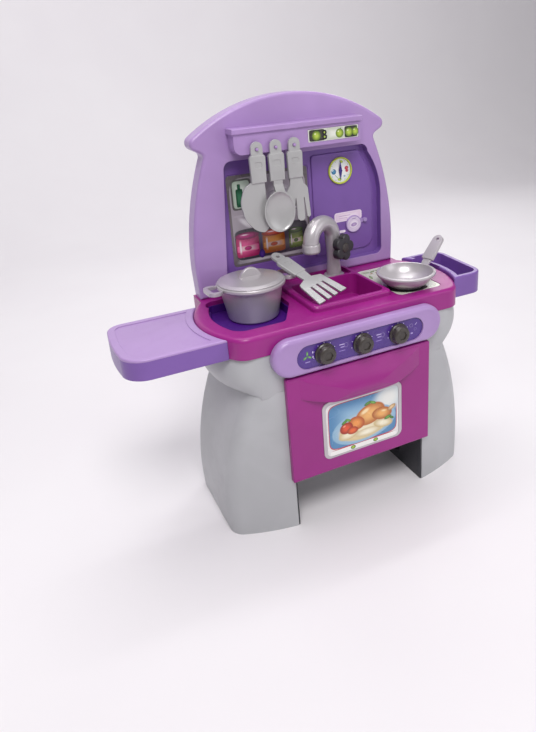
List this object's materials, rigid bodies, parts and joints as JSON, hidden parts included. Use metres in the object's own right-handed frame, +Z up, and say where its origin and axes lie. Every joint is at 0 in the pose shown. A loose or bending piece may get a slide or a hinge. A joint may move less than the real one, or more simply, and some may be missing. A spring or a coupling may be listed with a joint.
{
  "type": "toy kitchen",
  "caption": "Free-standing toy kitchen: swelling side legs, worktop with sink and tap, hob, oven with drop-down door, arched splashback with hanging tools, side tray and basket.",
  "frame": {"origin": "on the floor, under the middle of the whole toy's footprint, side tray and basket included", "axes": "+Z up, -Y towards the child who plays (oven door and knobs), +X to that child's right (the basket)"},
  "size_m": [0.683, 0.2714, 0.72],
  "materials": {
    "lilac_plastic": "satin",
    "magenta_plastic": "satin",
    "purple_plastic": "satin",
    "deep_purple_plastic": "satin",
    "grey_plastic": "satin",
    "dark_plastic": "matte",
    "silver_plastic": "pearl",
    "pale_silver_plastic": "satin",
    "charcoal_plastic": "satin",
    "olive_plastic": "satin",
    "clock_rim_plastic": "gloss",
    "clock_hand_plastic": "gloss",
    "badge_plastic": "gloss",
    "steel": "brushed",
    "hob_print": "gloss film",
    "window_print": "gloss film",
    "shelf_print": "gloss film",
    "control_print": "gloss film",
    "label_print": "gloss film",
    "clock_print": "gloss film",
    "food_print": "gloss film"
  },
  "bodies": {
    "cabinet": {"left_leg": "grey_plastic", "right_leg": "grey_plastic", "left_inner_panel": "dark_plastic", "right_inner_panel": "dark_plastic", "rear_panel": "dark_plastic", "oven_floor": "dark_plastic", "front_rail": "dark_plastic", "worktop": "magenta_plastic", "pot_dish": "deep_purple_plastic", "hob_sticker": "hob_print", "splashback": "lilac_plastic", "splashback_cover": "lilac_plastic", "window_sticker": "window_print", "board_label": "label_print", "board_slots": "label_print", "board_badge": "badge_plastic", "clock_face": "clock_print", "clock_ring": "clock_rim_plastic", "tool_shelf": "lilac_plastic", "shelf_sticker": "shelf_print", "control_panel": "lilac_plastic", "control_sticker": "control_print", "hinge_pins": "steel", "tap_base": "silver_plastic", "tap_nut": "dark_plastic", "left_tray": "purple_plastic", "tray_top": "lilac_plastic", "right_basket": "purple_plastic", "rear_screws": "steel", "worktop_screws": "steel", "splashback_screws": "steel", "cover_screws": "steel"},
    "oven_door": {"oven_door": "magenta_plastic", "door_liner": "magenta_plastic", "window_frame": "silver_plastic", "window_picture": "food_print"},
    "tap": {"tap_spout": "silver_plastic", "tap_nozzle": "silver_plastic"},
    "tap_handle": {"tap_handle": "charcoal_plastic", "tap_button": "olive_plastic"},
    "clock_hand": {"clock_hand": "clock_hand_plastic"},
    "pot": {"pot": "silver_plastic"},
    "pot_lid": {"pot_lid": "silver_plastic"},
    "serving_fork": {"serving_fork": "pale_silver_plastic"},
    "pan": {"pan": "silver_plastic"},
    "spatula": {"spatula": "pale_silver_plastic"},
    "spoon": {"spoon": "pale_silver_plastic"},
    "fork": {"fork": "pale_silver_plastic"},
    "knob_left": {"knob_left": "olive_plastic", "knob_clip_left": "steel"},
    "knob_middle": {"knob_middle": "olive_plastic", "knob_clip_middle": "steel"},
    "knob_right": {"knob_right": "olive_plastic", "knob_clip_right": "steel"}
  },
  "joints": [
    {"name": "oven_door_hinge", "type": "hinge", "parent": "cabinet", "child": "oven_door", "pos_m": [0.0385, -0.11175, 0.103], "axis": [1, 0, 0], "range_deg": [0, 90]},
    {"name": "knob_left_turn", "type": "hinge", "parent": "cabinet", "child": "knob_left", "pos_m": [-0.0315, -0.12075, 0.331], "axis": [0, -1, 0], "continuous": true},
    {"name": "knob_middle_turn", "type": "hinge", "parent": "cabinet", "child": "knob_middle", "pos_m": [0.0385, -0.12075, 0.331], "axis": [0, -1, 0], "continuous": true},
    {"name": "knob_right_turn", "type": "hinge", "parent": "cabinet", "child": "knob_right", "pos_m": [0.1085, -0.12075, 0.331], "axis": [0, -1, 0], "continuous": true},
    {"name": "tap_swivel", "type": "hinge", "parent": "cabinet", "child": "tap", "pos_m": [0.0925, 0.07125, 0.384], "axis": [0, 0, 1], "range_deg": [-12, 60]},
    {"name": "tap_handle_turn", "type": "hinge", "parent": "tap", "child": "tap_handle", "pos_m": [0.0925, 0.07125, 0.443], "axis": [0.3746, -0.9272, 0], "continuous": true},
    {"name": "clock_hand_turn", "type": "hinge", "parent": "cabinet", "child": "clock_hand", "pos_m": [0.1355, 0.11075, 0.572], "axis": [0, -1, 0], "continuous": true},
    {"name": "pot_lift", "type": "slide", "parent": "cabinet", "child": "pot", "axis": [0, -0.6392, 0.769], "range_m": [0, 0.16]},
    {"name": "pot_lid_lift", "type": "slide", "parent": "pot", "child": "pot_lid", "axis": [0, -0.6392, 0.769], "range_m": [0, 0.12]},
    {"name": "serving_fork_lift", "type": "slide", "parent": "pot", "child": "serving_fork", "axis": [0, -0.6, 0.8], "range_m": [0, 0.14]},
    {"name": "pan_lift", "type": "slide", "parent": "cabinet", "child": "pan", "axis": [0, 0, 1], "range_m": [0, 0.12]},
    {"name": "spatula_swing", "type": "hinge", "parent": "cabinet", "child": "spatula", "pos_m": [-0.0465, 0.06375, 0.636], "axis": [0, -1, 0], "range_deg": [-4.5, 4.5]},
    {"name": "spoon_swing", "type": "hinge", "parent": "cabinet", "child": "spoon", "pos_m": [-0.012, 0.06375, 0.636], "axis": [0, -1, 0], "range_deg": [-4.5, 4.5]},
    {"name": "fork_swing", "type": "hinge", "parent": "cabinet", "child": "fork", "pos_m": [0.0225, 0.06375, 0.636], "axis": [0, -1, 0], "range_deg": [-4.5, 4.5]}
  ]
}
